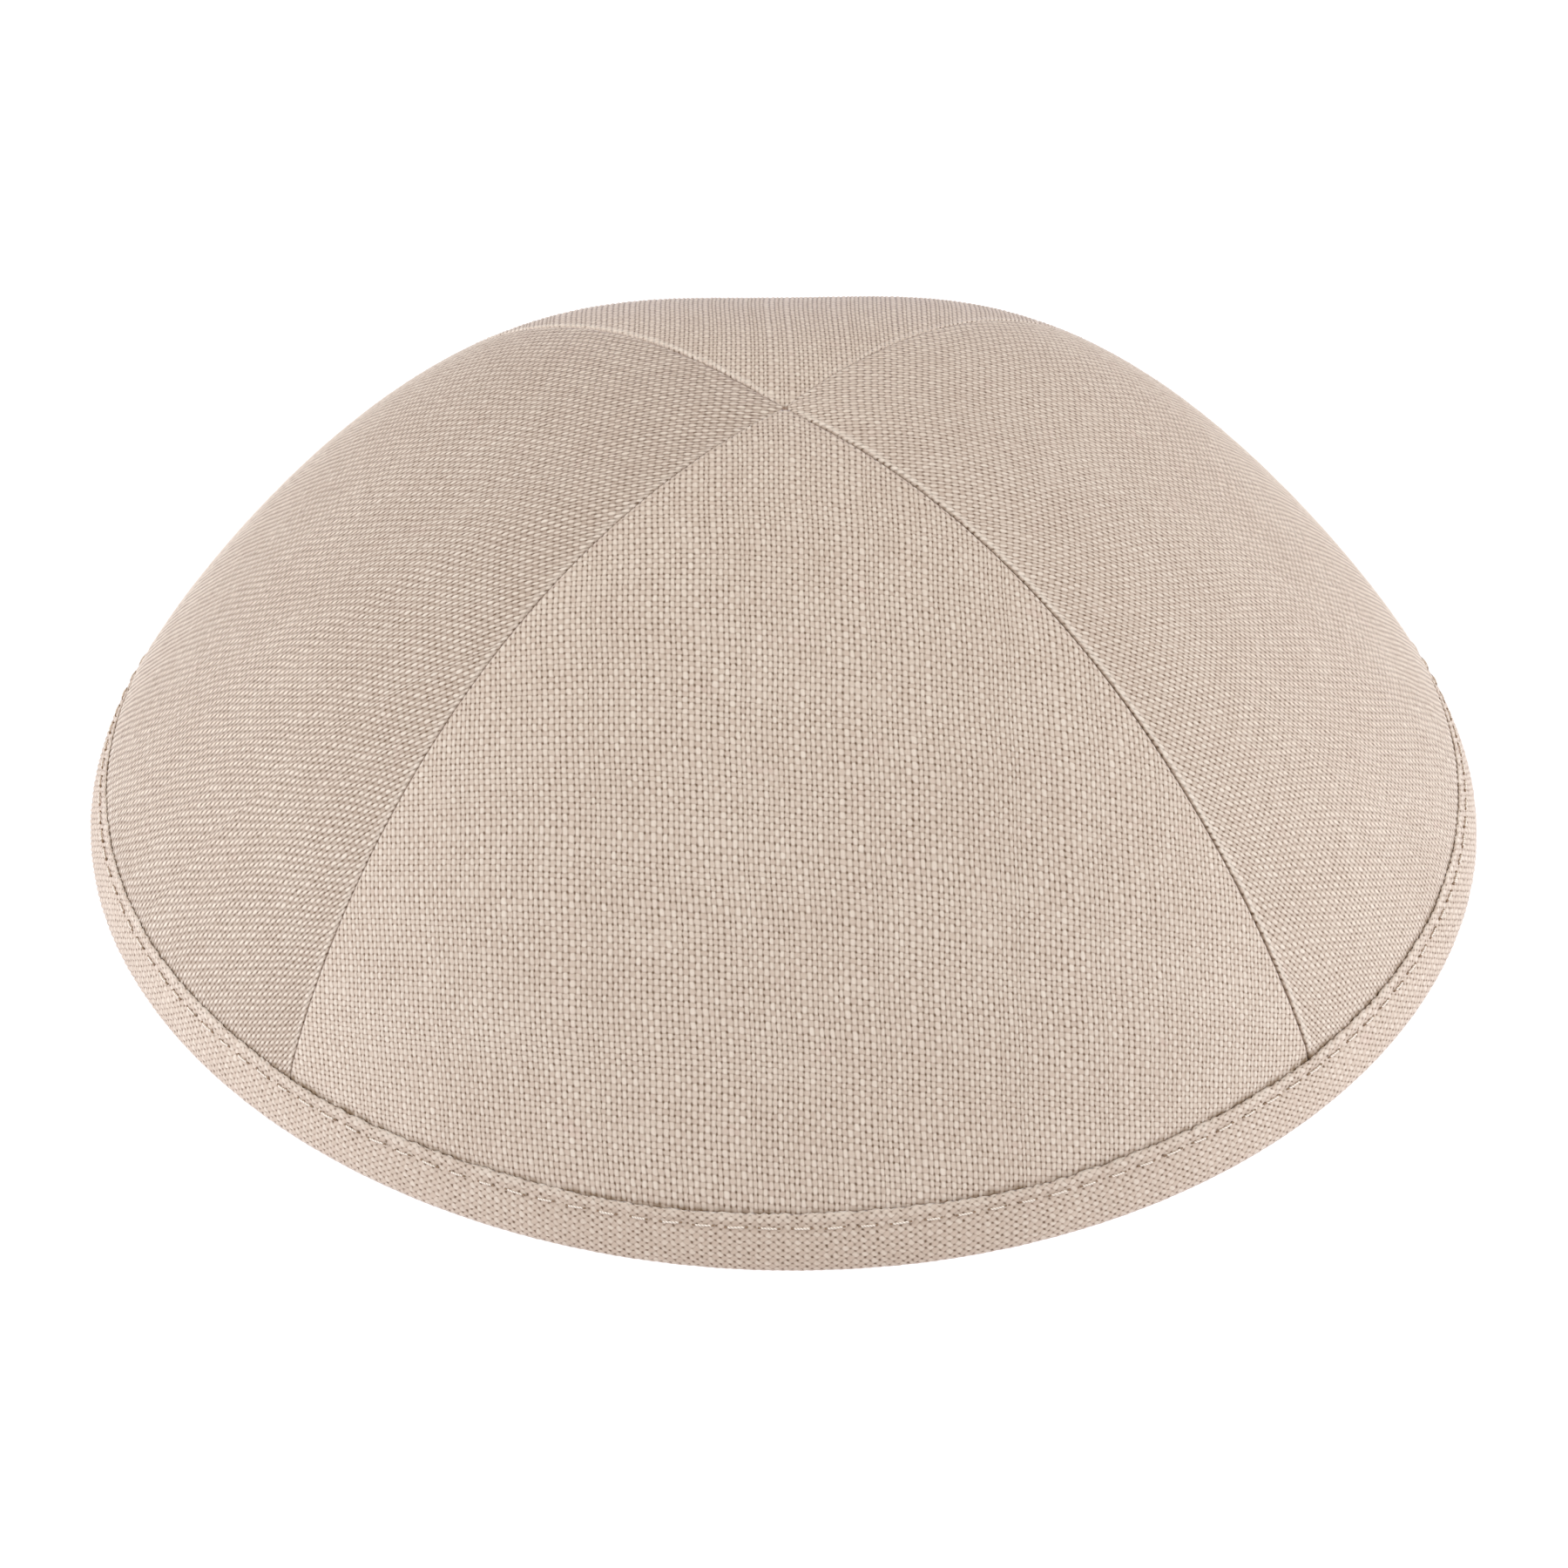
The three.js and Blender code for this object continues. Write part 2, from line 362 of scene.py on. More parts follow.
def linen(name, seed, stray, warp_gap_shade, painted_dimming):
    """A plain-weave linen that reads thread numbers from the piece's map.

    Stray is how far threads waver, warp_gap_shade how strong the painted shade between warps is, and
    the last number how much darker the crests are than in the panels: a painted shade.
    """
    material = bpy.data.materials.new(name)
    board = empty_board(material)
    place = board.node("ShaderNodeUVMap", {"uv_map": THREAD_MAP})
    even_warp, even_weft, _ = board.split(place)
    waver = board.noise(board.vector(even_warp * 0.8, even_weft * 0.8, seed + 5)) * stray
    warp, weft = even_warp + waver, even_weft - waver

    warp_number, weft_number = warp.math("FLOOR"), weft.math("FLOOR")
    cell = board.vector(warp_number, weft_number, seed)
    off_warp, off_weft = warp - warp_number - 0.5, weft - weft_number - 0.5
    over = 1 - (warp_number + weft_number).math("FLOORED_MODULO", 2.0) * 2

    warp_yarn = board.noise(board.vector(warp_number * 7.3, weft * 0.16, seed), detail=2.0)
    weft_yarn = board.noise(board.vector(warp * 0.13, weft_number * 5.7, seed + 40), detail=2.0)
    closed = board.noise(board.vector(warp * 0.1, weft * 0.15, seed + 21), detail=2.0).ramp(0.06, 0.3) * 0.13
    warp_width = warp_yarn * 0.2 + 0.45 + closed
    weft_width = weft_yarn * 0.24 + 0.45 + closed

    def height(off, width, passing, middle, swing):
        across = off / width
        flat_topped = (passing * 1.8).math("MINIMUM", 1.0).math("MAXIMUM", -1.0)
        return (1 - across * across) * middle + flat_topped * swing

    warp_height = height(off_warp, warp_width, over * (off_weft * math.pi).math("COSINE"), 0.62, 0.38)
    weft_height = height(off_weft, weft_width, over * (off_warp * math.pi).math("COSINE") * -1, 0.55, 0.3)
    top = warp_height.math("MAXIMUM", weft_height)
    shows_warp = warp_height.math("GREATER_THAN", weft_height)

    fibre_along_warp = board.vector(warp * 9, weft * 0.9, seed)
    fibre_along_weft = board.vector(warp * 0.9, weft * 9, seed + 11)
    fibre = board.noise(board.mix_vectors(shows_warp, fibre_along_weft, fibre_along_warp), detail=2.0)
    yarn_shade = board.mix_numbers(shows_warp, weft_yarn, warp_yarn)
    cloud = board.noise(board.vector(warp * 0.04, weft * 0.05, seed + 3), detail=3.0)

    warp_gap, weft_gap = off_warp.math("ABSOLUTE").ramp(0.2, 0.47), off_weft.math("ABSOLUTE").ramp(0.12, 0.45)
    # Where four threads meet there is a hole, and no two holes are equally deep: each gets painted shade of
    # its own strength
    corner = board.vector((warp + 0.5).math("FLOOR"), (weft + 0.5).math("FLOOR"), seed + 30)
    hole_darkness = board.chance(corner) * (MOST_HOLE - LEAST_HOLE) + LEAST_HOLE
    # On the side panels painted shade lengthens the holes along the warp and deepens the gaps between warps,
    # and painted shade and light join the crossings into level rows, along one diagonal of the weave or,
    # below 0, the other
    slant = board.carried(PAINTED_ROWS)
    painted_row_share = slant.math("ABSOLUTE")
    hole = warp_gap * (weft_gap + painted_row_share * 0.4).math("MINIMUM", 1.0)
    # Painted shade: the lower the threads lie, the nearer the colour comes to the hollows' shade, and it
    # darkens again between warps and in the holes
    filled = top.ramp(-0.5, 0.7) * (1 - warp_gap * (painted_row_share * 0.15 + warp_gap_shade)) * (1 - hole * hole_darkness)
    one_way = ((warp - weft) * math.pi).math("COSINE") * slant.math("MAXIMUM", 0.0)
    other_way = ((warp + weft) * math.pi).math("COSINE") * slant.math("MINIMUM", 0.0)
    row = one_way + other_way
    filled = filled * (1 - (painted_row_share - row) * PAINTED_ROW_SHADE)
    # Painted highlight on the threads' crowns, brightest on warp crowns, with the yarn's own uneven tone,
    # fibre, clouds and the painted row light
    crest = top.ramp(0.35, 1.0) * (shows_warp * 0.3 + 0.16) * (board.chance(cell) * 0.3 + 0.85)
    crest = crest + yarn_shade * 0.6 + fibre * 0.35 + cloud * 0.25 + row * PAINTED_ROW_LIGHT - painted_dimming
    colour = board.mix(crest.math("MAXIMUM", 0.0).math("MINIMUM", 1.0), YARN, PAINTED_HIGHLIGHT)
    rose = board.noise(board.vector(warp * 0.11, weft * 0.19, seed + 7), detail=2.0).ramp(0.12, 0.3) * 0.3
    colour = board.mix(rose, colour, ROSE)
    colour = board.mix(filled, PAINTED_HOLLOW_SHADE, colour)
    # Painted shade in the seams and over the binding, and painted highlight on raised edges and the fold
    crease = board.carried(PAINTED_SHADE_AND_LIGHT)
    colour = board.mix(crease.math("MAXIMUM", 0.0), colour, PAINTED_CREASE_SHADE)
    colour = board.mix((-crease).math("MAXIMUM", 0.0), colour, PAINTED_HIGHLIGHT)

    relief = {"Strength": 0.35, "Distance": 0.12 * MM, "Height": top + fibre * 0.25}
    finish = {
        "Base Color": colour,
        "Roughness": 0.9 - filled * 0.08 + fibre * 0.1,
        "Normal": board.node("ShaderNodeBump", None, relief),
        "Specular IOR Level": 0.25,
        "Sheen Weight": 0.2,
        "Sheen Roughness": 0.5,
        "Sheen Tint": (0.9, 0.86, 1.0, 1.0),
    }
    cloth = board.node("ShaderNodeBsdfPrincipled", None, finish)
    board.node("ShaderNodeOutputMaterial", None, {"Surface": cloth})
    return material


panel_linen = linen("panel_linen", 0.0, 0.36, 0.14, 0.0)
# The binding is the same linen with painted shade, its crests darker
binding_linen = linen("binding_linen", 20.0, 0.6, 0.0, 0.13)
print("linens:", panel_linen.name, binding_linen.name)

# %% [markdown]
# ## Relief of the weave
# A thread that passes over another stands about a tenth of a millimetre above the hollow beside it.
# The cloth's mesh has a point on every crossing, every hollow and halfway between, so Geometry Nodes
# can lift and sink each one by a rule: the thread numbers say which it is. The rule is the same for
# all pieces, and its sizes are inputs of the tree.

# %% A tree that raises the weave
THREADS = "threads"
OUTWARD = "outward"
RELIEF_SHARE = "relief_share"


def new_tree(name, inputs):
    """A tree of Geometry Nodes and the wires of its named inputs, each given by its usual value or kind."""
    tree = bpy.data.node_groups.new(name, "GeometryNodeTree")
    for label, given in inputs.items():
        kind = given if isinstance(given, str) else {int: "Int", float: "Float"}[type(given)]
        socket = tree.interface.new_socket(label, in_out="INPUT", socket_type=f"NodeSocket{kind}")
        if kind != given:
            socket.default_value = given
    tree.interface.new_socket("Geometry", in_out="OUTPUT", socket_type="NodeSocketGeometry")
    board = Board(tree)
    outputs = board.node("NodeGroupInput").socket.node.outputs
    return board, [Wire(board, outputs[i]) for i in range(len(inputs))]


def close_tree(board, geometry, material):
    """The end of a tree: real geometry with its material."""
    real = board.node("GeometryNodeRealizeInstances", None, [geometry])
    finished = board.node("GeometryNodeSetMaterial", None, {"Geometry": real, "Material": material})
    board.node("NodeGroupOutput", None, [finished])
    return board.tree


def relief_tree():
    sizes = {"Warp Gap": 0.07 * MM, "Weft Gap": 0.0, "Warp Rise": 0.065 * MM, "Slub Height": 0.08 * MM}
    inputs = {"Cloth": "Geometry", **sizes, "Seed": 0.0, "Linen": "Material"}
    board, wires = new_tree("woven_relief", inputs)
    cloth, warp_gap, weft_gap, warp_rise, slub_height, seed, finish = wires

    def carried(name, kind):
        return board.node("GeometryNodeInputNamedAttribute", {"data_type": kind}, {"Name": name})

    warp, weft, _ = board.split(carried(THREADS, "FLOAT_VECTOR"))
    across_warp, across_weft = (warp * 2 * math.pi).math("COSINE"), (weft * 2 * math.pi).math("COSINE")
    egg_crate = (across_warp * warp_gap + across_weft * weft_gap) * -0.5
    checker = (warp * math.pi).math("SINE") * (weft * math.pi).math("SINE") * warp_rise
    warp_slub = board.noise(board.vector(warp.math("FLOOR") * 3.1, weft * 0.12, seed))
    weft_slub = board.noise(board.vector(warp * 0.12, weft.math("FLOOR") * 3.7, seed + 9.0))
    lift = (egg_crate + checker + (warp_slub + weft_slub) * slub_height) * carried(RELIEF_SHARE, "FLOAT")
    offset = board.scaled(carried(OUTWARD, "FLOAT_VECTOR"), lift)
    raised = board.node("GeometryNodeSetPosition", None, {"Geometry": cloth, "Offset": offset})
    return close_tree(board, raised, finish)


def input_of(tree, name):
    """The identifier of a tree's input, by which a modifier takes its value."""
    inputs = [item for item in tree.interface.items_tree if item.in_out == "INPUT"]
    return next(item.identifier for item in inputs if item.name == name)


def grown(piece, tree, inputs):
    """The piece's mesh after a tree of Geometry Nodes, as a plain mesh without the modifier."""
    growth = piece.modifiers.new(tree.name, "NODES")
    growth.node_group = tree
    for name, value in inputs.items():
        growth[input_of(tree, name)] = value
    piece.update_tag()
    seen = piece.evaluated_get(bpy.context.evaluated_depsgraph_get())
    plain = bpy.data.meshes.new_from_object(seen)
    piece.modifiers.remove(growth)
    piece.data = plain
    return piece


woven_relief = relief_tree()
print("relief inputs:", [item.name for item in woven_relief.interface.items_tree])

# %% [markdown]
# ## Cutting the panels
# A panel is cut flat, with its warp running from the rim to the crown, and takes the cap's curve when
# it is sewn. So the threads are laid out on a flat pattern and carried over to the skin. The pattern
# is the one that map makers call polyconic: the middle line keeps its length, and each level line of
# the panel keeps its length too and becomes an arc. A mesh that follows the threads needs both ways
# of that map, so it is tabulated over the panel and read backwards.

# %% Thread counts
WARP_PITCH = {"front": 0.568 * MM, "right": 0.54 * MM, "back": 0.568 * MM, "left": 0.522 * MM}
WEFT_PITCH = {"front": 0.709 * MM, "right": 0.75 * MM, "back": 0.709 * MM, "left": 0.782 * MM}
# How much the weft drops for each step to the right, in the middle of a panel, and its growth over a radius
WEFT_SKEW = {"front": (0.13, 0.12), "right": (0.03, 0.1), "back": (0.05, 0.0), "left": (0.05, 0.1)}
MIDDLE_ANGLE = {"front": 0.0, "right": QUARTER, "back": 2 * QUARTER, "left": 3 * QUARTER}
MOST_THREADS = 320
# How much the widths of warp and weft threads vary, as shares
UNEVENNESS = {"front": (0.13, 0.1), "right": (0.13, 0.07), "back": (0.18, 0.12), "left": (0.13, 0.07)}
THINNEST, THICKEST = 0.6, 1.8  # thread widths, in mean widths
SLOW_THREADS = 9  # neighbouring threads over which the slow part of the unevenness is averaged
DRIFT_WAVES, DRIFT_SIZE = 6, 0.05 * MM
SHORT_DRIFT, LONG_DRIFT = 14 * MM, 45 * MM
WAVE_TURN, MOST_PHASE = 6.283, 6.3  # radians, about a full turn
TABLE_ANGLES, TABLE_SHARES = 241, 601
TIP_SHARE = 0.0012
LEAST_BEND = 0.1  # keeps the lowest arcs of the pattern from turning straight


def uneven_threads(dice, unevenness):
    """Places of the gaps between threads, in mean thread widths, for threads of uneven width."""
    fine = dice.normal(0, unevenness, MOST_THREADS)
    rough = dice.normal(0, unevenness, MOST_THREADS + SLOW_THREADS - 1)
    slow = np.convolve(rough, np.ones(SLOW_THREADS) / SLOW_THREADS, "valid")
    widths = np.clip(1 + fine + slow, THINNEST, THICKEST)
    edges = np.concatenate([[0], np.cumsum(widths / widths.mean())])
    return edges - edges[MOST_THREADS // 2]


def wander(dice):
    """A slow drift of threads off their straight line, in metres, as a function of the flat place."""
    lows, highs = (0, SHORT_DRIFT, 0), (2 * math.pi, LONG_DRIFT, MOST_PHASE)
    waves = dice.uniform(lows, highs, (DRIFT_WAVES, 3))

    def drift(across, up):
        total = 0
        for way, length, phase in waves:
            along = across * math.cos(way) + up * math.sin(way)
            total = total + np.sin(along * WAVE_TURN / length + phase)
        return total * DRIFT_SIZE

    return drift


def flat_size(pattern):
    """Width and length of a flat pattern, and the area inside its outline, by the shoelace formula."""
    across, up = (
        np.concatenate([side[0], side[1:, -1], side[-1, -2::-1], side[-2::-1, 0]])
        for side in (pattern["across"], pattern["up"])
    )
    area = abs(np.dot(across, np.roll(up, -1)) - np.dot(up, np.roll(across, -1))) / 2
    return float(np.ptp(across)), float(np.ptp(up)), float(area)


def flat_pattern(place):
    """Tables over one panel: angle off its middle, share, flat place across and up, and thread numbers."""
    dice = np.random.default_rng(["front", "right", "back", "left"].index(place) + 5)
    offset = np.linspace(-QUARTER / 2, QUARTER / 2, TABLE_ANGLES)[:, None]
    share = np.linspace(TIP_SHARE, 1, TABLE_SHARES)[None, :]
    points = skin(MIDDLE_ANGLE[place] + offset, share)
    steps = np.linalg.norm(np.diff(points, axis=0), axis=-1)
    along = np.concatenate([np.zeros((1, TABLE_SHARES)), np.cumsum(steps, axis=0)])
    along = along - along[TABLE_ANGLES // 2]
    middle = points[TABLE_ANGLES // 2]
    run = run_along(middle)
    radius = np.hypot(*(middle - middle[0])[:, :2].T) + TIP_SHARE * MID_LENGTH
    bend = np.maximum(np.gradient(radius, run) / radius, LEAST_BEND)
    turn = along * bend
    across = np.sin(turn) / bend
    up = run[-1] - run + (1 - np.cos(turn)) / bend
    skew, more_skew = WEFT_SKEW[place]
    drop = skew * across + more_skew * across**2 / RIM_RADIUS / 2
    counts = np.arange(MOST_THREADS + 1) - MOST_THREADS // 2
    warp_edges, weft_edges = [uneven_threads(dice, unevenness) for unevenness in UNEVENNESS[place]]
    warp = np.interp((across + wander(dice)(across, up)) / WARP_PITCH[place], warp_edges, counts)
    weft = np.interp((up + drop + wander(dice)(across, up)) / WEFT_PITCH[place], weft_edges, counts)
    return {"offset": offset[:, 0], "share": share[0], "across": across, "up": up, "warp": warp, "weft": weft}


flat_sizes = {place: flat_size(flat_pattern(place)) for place in MIDDLE_ANGLE}
for place, (width, length, area) in flat_sizes.items():
    print(f"{place} panel cut flat: {width / MM:.1f} by {length / MM:.1f} mm, {area / MM / MM:.0f} mm2")

# %% [markdown]
# The panel's outer face has a row of points along every weft thread and every gap between two, and in
# each row a point on every warp thread and gap. Each row ends exactly on the edge of the panel. The
# rows are then sewn together like lace: where both rows have the same thread, a four-sided face, and
# where one row is longer, a fan of triangles. The inner face has the same rows with fewer points.

# %% Rows of points on a panel
PANEL_THICKNESS = 0.9 * MM
BINDING_WIDTH = 6.9 * MM
PANEL_LOW_EDGE = 3.0 * MM
LEG_THICKNESS = 0.29 * MM
SEAM_GAP = 0.03 * MM
INNER_EVERY = 12  # columns, in half threads, from one point of the inner face to the next
END_MARGIN = 0.15  # of a thread: no point of a row lies nearer than this to the row's end
LEAST_ROW = 0.3  # of a thread: the shortest row
BAKE_MARGIN = 0.01


def read_each(at, places, values):
    """Interpolation in one table after another: any of the three may be a list of rows, or one for all."""
    count = max(len(given) for given in (at, places, values) if np.ndim(given[0]))
    each = [given if np.ndim(given[0]) else [given] * count for given in (at, places, values)]
    return np.array([np.interp(*given) for given in zip(*each)])


def row_ends(pattern, rows):
    """For each row, its left and right end as angle off the middle and share."""
    share = pattern["share"]
    radius = np.interp(share, SHARES, seam_radius)
    edge = QUARTER / 2 - np.minimum(SEAM_GAP / 2 / radius, QUARTER / 8)
    lowest = 1 - PANEL_LOW_EDGE / SEAM_LENGTH
    bottom = read_each([lowest], share, pattern["weft"])[:, 0]
    turning = int(bottom.argmin())
    ends = []
    for side in (-1, 1):
        weft_at_edge = read_each(side * edge[:, None], pattern["offset"], pattern["weft"].T)[:, 0]
        at_share = np.interp(rows, weft_at_edge[::-1], share[::-1])
        at_offset = side * np.interp(at_share, share, edge)
        branch = slice(turning, None) if side > 0 else slice(turning, None, -1)
        low_offset = np.interp(rows, bottom[branch], pattern["offset"][branch])
        is_low = at_share > lowest
        low_offset = side * np.minimum(side * low_offset, np.interp(lowest, share, edge))
        ends.append((np.where(is_low, low_offset, at_offset), np.where(is_low, lowest, at_share)))
    return ends, bottom.min()


def lattice(place):
    """Rows of a panel from the hem to the crown. Each row is a list of warp number, angle and share."""
    pattern = flat_pattern(place)
    offset, share = pattern["offset"], pattern["share"]
    columns = np.arange(-MOST_THREADS + 2, MOST_THREADS - 1) / 2
    column_offset = read_each(columns, pattern["warp"].T, offset)
    weft_on_column = read_each(column_offset, offset, pattern["weft"].T)
    highest = pattern["weft"][len(offset) // 2, 0]
    rows = np.arange(math.ceil(pattern["weft"].min() * 2), math.floor(highest * 2) + 1) / 2
    ends, lowest_row = row_ends(pattern, rows)
    shares_on_column = read_each(rows, weft_on_column[::-1].T, share[::-1])
    offsets_on_column = read_each(shares_on_column, share, column_offset.T)
    rows_kept = []
    for r, row in enumerate(rows):
        left, right = [
            (np.interp(at[r], offset, read_each([end[r]], share, pattern["warp"])[:, 0]), at[r], end[r])
            for at, end in ends
        ]
        if row <= lowest_row or right[0] - left[0] < LEAST_ROW:
            continue
        inside = (columns > left[0] + END_MARGIN) & (columns < right[0] - END_MARGIN)
        points = np.column_stack([columns, offsets_on_column[:, r], shares_on_column[:, r]])[inside]
        rows_kept.append((row, np.vstack([left, points, right])))
    return pattern, rows_kept


# %% Sewing the rows together
def lace(lower, upper):
    """Faces between two rows, each given as warp numbers and vertex numbers from left to right."""
    faces = []
    (low_at, low), (high_at, high) = lower, upper
    i, j = 0, 0
    while i < len(low) - 1 or j < len(high) - 1:
        next_low = low_at[i + 1] if i < len(low) - 1 else math.inf
        next_high = high_at[j + 1] if j < len(high) - 1 else math.inf
        if next_low == next_high:
            faces.append((low[i], low[i + 1], high[j + 1], high[j]))
            i, j = i + 1, j + 1
        elif next_low < next_high:
            faces.append((low[i], low[i + 1], high[j]))
            i += 1
        else:
            faces.append((low[i], high[j + 1], high[j]))
            j += 1
    return faces


# %% [markdown]
# ### Edges of a panel
# At a seam both panels turn down into a narrow groove, and the one with the seam allowance under it
# stands up as a ridge. Above the binding the cloth dips under the folded strip. All are depths below the
# skin. The groove and the dip also get painted shade, and the ridge a painted highlight, so their points
# carry a value of painted shade and light too.

# %% Depth, painted shade and painted highlight
GROOVE_WIDTH, GROOVE_DEPTH = 0.5 * MM, 0.26 * MM
# Width and strength of the painted shade in the seams
GROOVE_SHADE_WIDTH = 0.16 * MM
GROOVE_SHADE, GROOVE_SHADE_PALE = 0.25, 0.06  # only the front right seam is deeply shaded
RIDGE_WIDTH, RIDGE_HEIGHT = 1.0 * MM, 0.2 * MM
# Painted highlight on the raised edges
RIDGE_LIGHT = 0.6
# Near the crown the seams are pulled shut: the front left and back right ones over a longer way
CROWN_CLOSES, CROWN_CLOSES_LONG = 4 * MM, 26 * MM
QUIET_SEAM = 0.5  # and those two never open as far
DIP_HEIGHT, DIP_DEPTH = 1.8 * MM, 0.24 * MM
# How far above the binding the painted shade of the dip reaches, and how its strength varies along the rim
DIP_SHADE_HEIGHT = 0.9 * MM
BLOTCH_STEP, BLOTCHES = 0.55 * MM, 241
FAINTEST_BLOTCH = 0.2
# In each side panel, painted shade and light in level rows along one diagonal of the weave
PANEL_PAINTED_ROWS = {"front": 0, "right": -0.25, "back": 0, "left": 0.75}
# The allowance is pressed to one side of each seam and lifts that panel's edge: -1 its left, 1 its right
RAISED_EDGES = {"front": (), "right": (-1,), "back": (-1, 1), "left": (1,)}


def to_seam(offset, share):
    """Distance to the nearer seam, in metres."""
    return (QUARTER / 2 - np.abs(offset)) * np.interp(share, SHARES, seam_radius)


def dip(share, reach):
    """1 at the binding's edge and under it, and 0 from a reach above it."""
    return 1 - np.clip(((1 - share) * SEAM_LENGTH - BINDING_WIDTH) / reach, 0, 1)


def open_seam(place, offset, share):
    """1 where a seam is open and 0 at the crown, where the four tips are pulled together."""
    quiet = np.sin(2 * (MIDDLE_ANGLE[place] + offset)) < 0
    closes, widest = np.where(quiet, CROWN_CLOSES_LONG, CROWN_CLOSES), np.where(quiet, QUIET_SEAM, 1)
    return np.clip(share * SEAM_LENGTH / closes - 0.1, 0, widest)


def ridge(place, offset, share):
    """1 along the raised edges of a panel and 0 away from them, rounding down into the seam."""
    raised = np.isin(np.sign(offset), RAISED_EDGES[place])
    near = np.clip(1 - to_seam(offset, share) / RIDGE_WIDTH, 0, 1)
    return raised * near * near * (3 - 2 * near)


def blotches(offset):
    """Uneven strength of the painted shade along the rim: random shares, a thread apart."""
    places = (np.arange(BLOTCHES) - BLOTCHES // 2) * BLOTCH_STEP
    strengths = np.clip(np.random.default_rng(61).uniform(0.1, 1.6, BLOTCHES), FAINTEST_BLOTCH, 1)
    return np.interp(offset * RIM_RADIUS, places, strengths)


def panel_depth(place, offset, share):
    opened = open_seam(place, offset, share)
    groove = GROOVE_DEPTH * opened**2 * np.clip(1 - to_seam(offset, share) / GROOVE_WIDTH, 0, 1) ** 1.7
    raised = RIDGE_HEIGHT * opened * ridge(place, offset, share)
    return groove - raised + DIP_DEPTH * dip(share, DIP_HEIGHT) ** 2


def panel_painted_shade_and_light(place, offset, share):
    """Painted shade where positive, in seams and over the binding, and painted highlight where negative, on
    raised edges.
    """
    opened = open_seam(place, offset, share)
    groove = np.clip(1 - to_seam(offset, share) / GROOVE_SHADE_WIDTH, 0, 1)
    angle = MIDDLE_ANGLE[place] + offset
    front_right = (np.cos(angle) > 0) & (np.sin(2 * angle) > 0)
    seam_shade = np.where(front_right, GROOVE_SHADE, GROOVE_SHADE_PALE)
    over_binding = dip(share, DIP_SHADE_HEIGHT) ** 1.5 * blotches(offset)
    dark = np.maximum(groove * opened * seam_shade, over_binding)
    return np.where(dark > 0, dark, -RIDGE_LIGHT * opened * ridge(place, offset, share))


# %% Making a panel
def cloth_object(name, points, faces, values, maps):
    """A mesh with the values that the linen and its relief read, and maps given at its points or corners."""
    mesh = bpy.data.meshes.new(name)
    mesh.from_pydata(points.tolist(), [], faces)
    for label, data in values.items():
        kind, field = ("FLOAT", "value") if data.ndim == 1 else ("FLOAT_VECTOR", "vector")
        mesh.attributes.new(label, kind, "POINT").data.foreach_set(field, np.ascontiguousarray(data).ravel())
    corner = np.empty(len(mesh.loops), np.int32)
    mesh.loops.foreach_get("vertex_index", corner)
    for label, places in maps.items():
        if len(places) == len(points):
            places = places[corner]
        mesh.uv_layers.new(name=label).uv.foreach_set("vector", places.astype(np.float32).ravel())
    mesh.polygons.foreach_set("use_smooth", np.ones(len(mesh.polygons), bool))
    mesh.validate()
    return added(name, mesh)


def round_edge(rows):
    """Vertex numbers round a face made of rows: along the hem, up the right side, and back."""
    numbers = [of_row for _, of_row in rows]
    right, left = [n[-1] for n in numbers[1:]], [n[0] for n in numbers[-2:0:-1]]
    return numbers[0] + right + numbers[-1][-2::-1] + left


